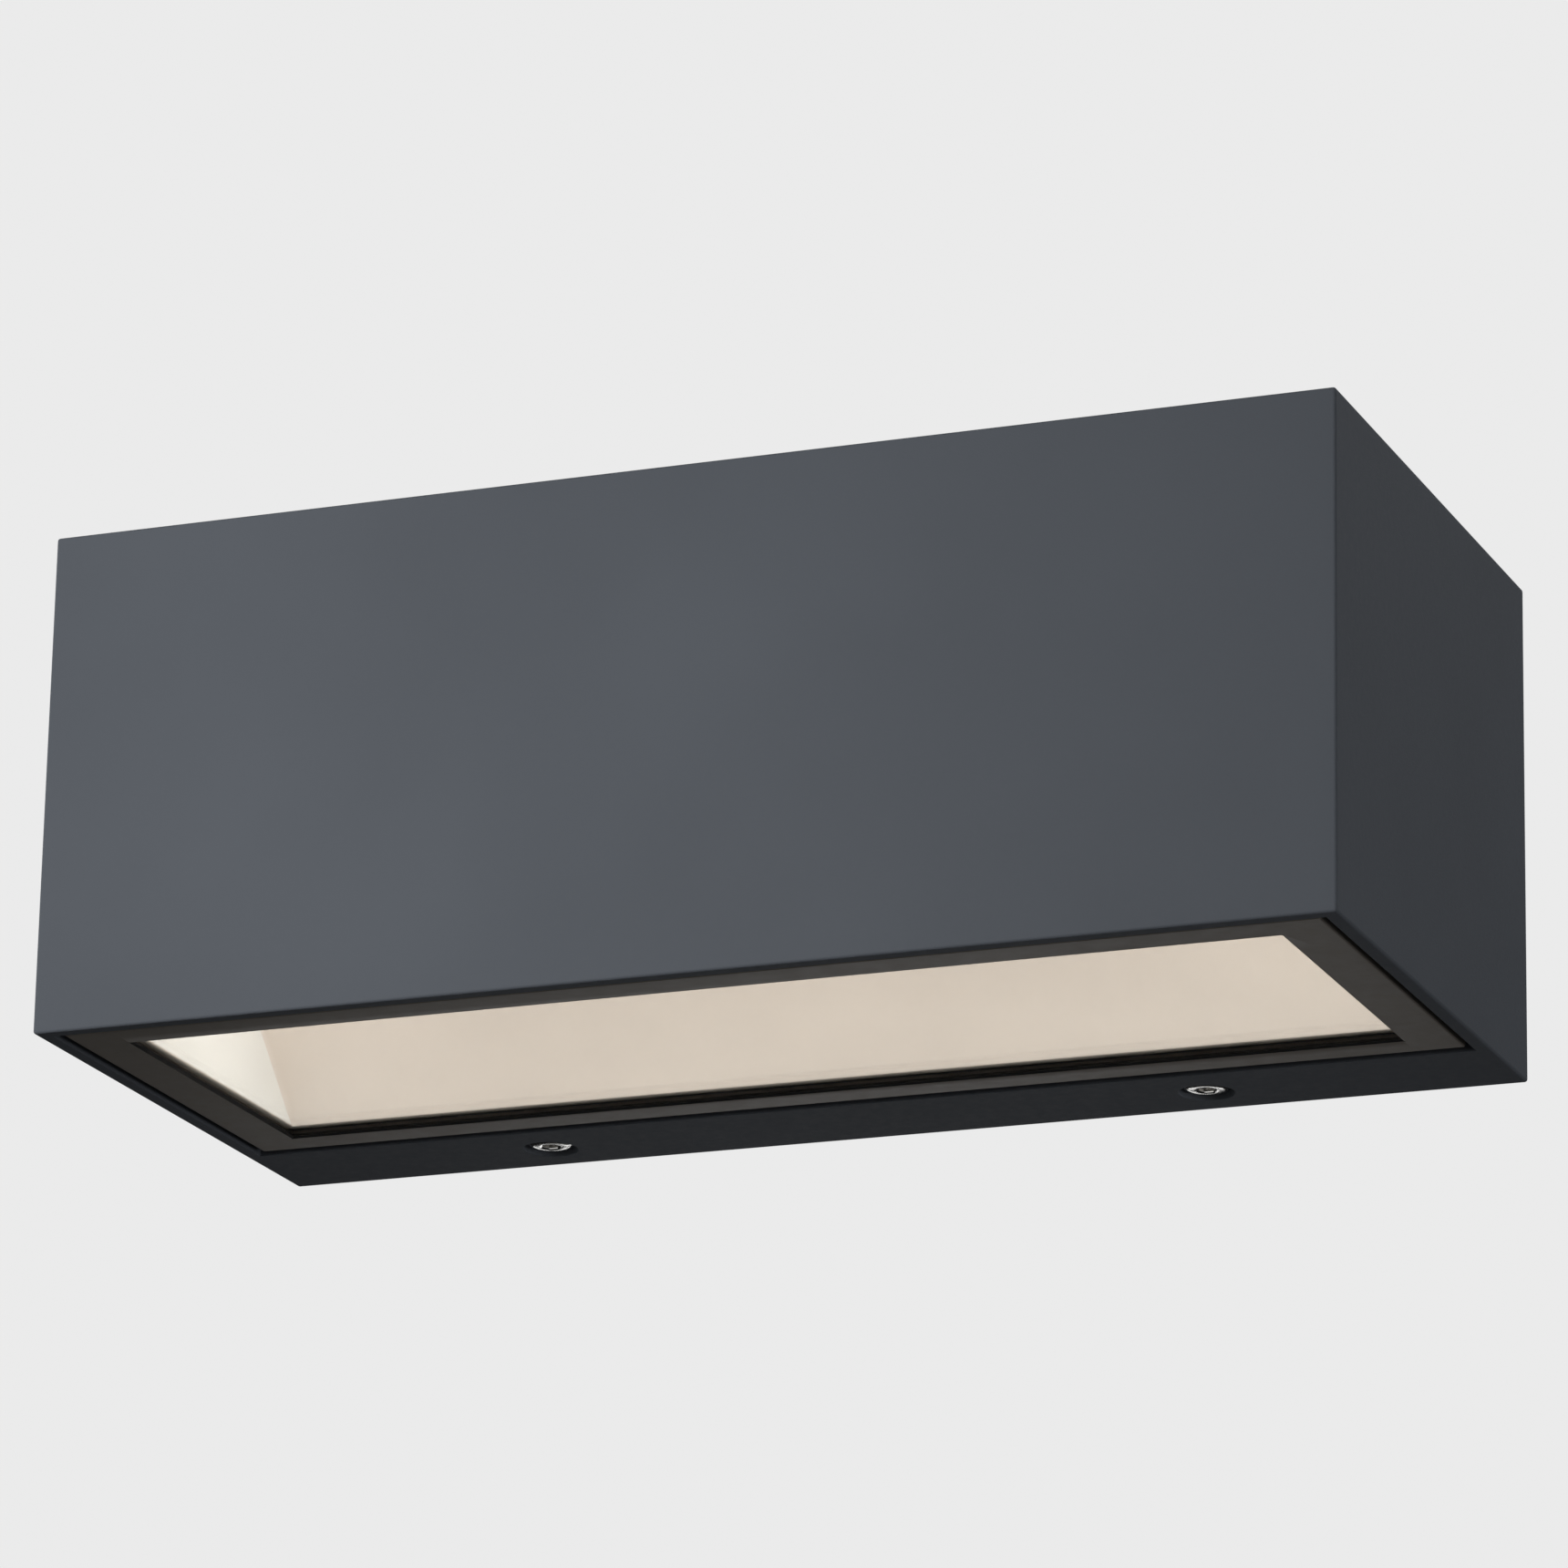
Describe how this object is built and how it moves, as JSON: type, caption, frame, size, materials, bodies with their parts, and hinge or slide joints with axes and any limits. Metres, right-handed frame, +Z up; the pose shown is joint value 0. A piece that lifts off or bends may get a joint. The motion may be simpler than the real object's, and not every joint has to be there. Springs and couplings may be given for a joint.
{
  "type": "outdoor wall light",
  "caption": "Box-shaped outdoor down light for a wall: cast housing, framed pane in its underside, angled reflector, LED strip and driver, hung on a folded wall bracket.",
  "frame": {"origin": "on the wall's face, at the middle of the housing's width and height", "axes": "+X to the right seen from the front, +Y into the wall, +Z up"},
  "size_m": [0.26, 0.12, 0.1],
  "materials": {
    "powder_coat": "fine textured dark grey powder coat, satin",
    "bezel_coat": "smooth dark brown-grey coat, semi-gloss",
    "clear_glass": "clear polished",
    "black_silicone": "matt black silicone",
    "cream_coat": "cream white coat, satin",
    "board_mask": "white solder mask",
    "led_phosphor": "yellow phosphor in a white frame, unlit",
    "bare_aluminium": "mill finish",
    "driver_case": "white moulded",
    "terminal_plastic": "light grey moulded",
    "galvanised_steel": "galvanised",
    "stainless_steel": "turned stainless steel, bright",
    "zinc_steel": "zinc plated",
    "brass": "turned brass",
    "grey_rubber": "matt dark grey rubber",
    "brown_sleeve": "brown insulation",
    "blue_sleeve": "blue insulation",
    "green_yellow_sleeve": "green and yellow insulation",
    "red_sleeve": "red insulation",
    "black_sleeve": "black insulation"
  },
  "bodies": {
    "bracket": {"wall_bracket": "galvanised_steel", "bracket_grommet": "grey_rubber", "bracket_earth_screw": "brass", "bracket_earth_washer": "brass"},
    "luminaire": {"housing": "powder_coat", "lens_bezel": "bezel_coat", "glass_pane": "clear_glass", "glass_gasket": "black_silicone", "reflector": "cream_coat", "led_board": "board_mask", "heat_spreader": "bare_aluminium", "led_driver": "driver_case", "rear_cover": "bare_aluminium", "cover_gasket": "grey_rubber", "terminal_block": "terminal_plastic", "lead_grommet": "grey_rubber", "lead_live": "brown_sleeve", "lead_neutral": "blue_sleeve", "lead_earth": "green_yellow_sleeve", "lead_led_plus": "red_sleeve", "lead_led_minus": "black_sleeve", "earth_tag": "brass", "earth_tag_screw": "brass", "bezel_screw_1": "zinc_steel", "bezel_screw_2": "zinc_steel", "bezel_screw_3": "zinc_steel", "bezel_screw_4": "zinc_steel", "cover_screw_1": "zinc_steel", "cover_screw_2": "zinc_steel", "cover_screw_3": "zinc_steel", "cover_screw_4": "zinc_steel", "spreader_screw_1": "zinc_steel", "spreader_screw_2": "zinc_steel", "spreader_screw_3": "zinc_steel", "spreader_screw_4": "zinc_steel", "board_screw_1": "zinc_steel", "board_screw_2": "zinc_steel", "driver_screw_1": "zinc_steel", "driver_screw_2": "zinc_steel", "terminal_screw": "zinc_steel", "led_1": "led_phosphor", "led_2": "led_phosphor", "led_3": "led_phosphor", "led_4": "led_phosphor", "led_5": "led_phosphor", "led_6": "led_phosphor", "led_7": "led_phosphor", "led_8": "led_phosphor"},
    "screw_left": {"fixing_screw_left": "stainless_steel"},
    "screw_right": {"fixing_screw_right": "stainless_steel"},
    "screw_left_washer": {"sealing_washer_left": "black_silicone"},
    "screw_right_washer": {"sealing_washer_right": "black_silicone"}
  },
  "joints": [
    {"name": "luminaire_lift_off", "type": "slide", "parent": "bracket", "child": "luminaire", "axis": [0, -1, 0], "range_m": [0, 0.03]},
    {"name": "screw_left_travel", "type": "slide", "parent": "luminaire", "child": "screw_left_washer", "axis": [0, 0, -1], "range_m": [0, 0.008]},
    {"name": "screw_left_turn", "type": "hinge", "parent": "screw_left_washer", "child": "screw_left", "pos_m": [-0.069, -0.0123, -0.0468], "axis": [0, 0, -1], "range_deg": [0, 3600]},
    {"name": "screw_right_travel", "type": "slide", "parent": "luminaire", "child": "screw_right_washer", "axis": [0, 0, -1], "range_m": [0, 0.008]},
    {"name": "screw_right_turn", "type": "hinge", "parent": "screw_right_washer", "child": "screw_right", "pos_m": [0.069, -0.0123, -0.0468], "axis": [0, 0, -1], "range_deg": [0, 3600]}
  ],
  "couplings": [
    {"joint": "screw_left_turn", "follows": "screw_left_travel", "rad_per_m": 7853.9},
    {"joint": "screw_right_turn", "follows": "screw_right_travel", "rad_per_m": 7853.9}
  ]
}
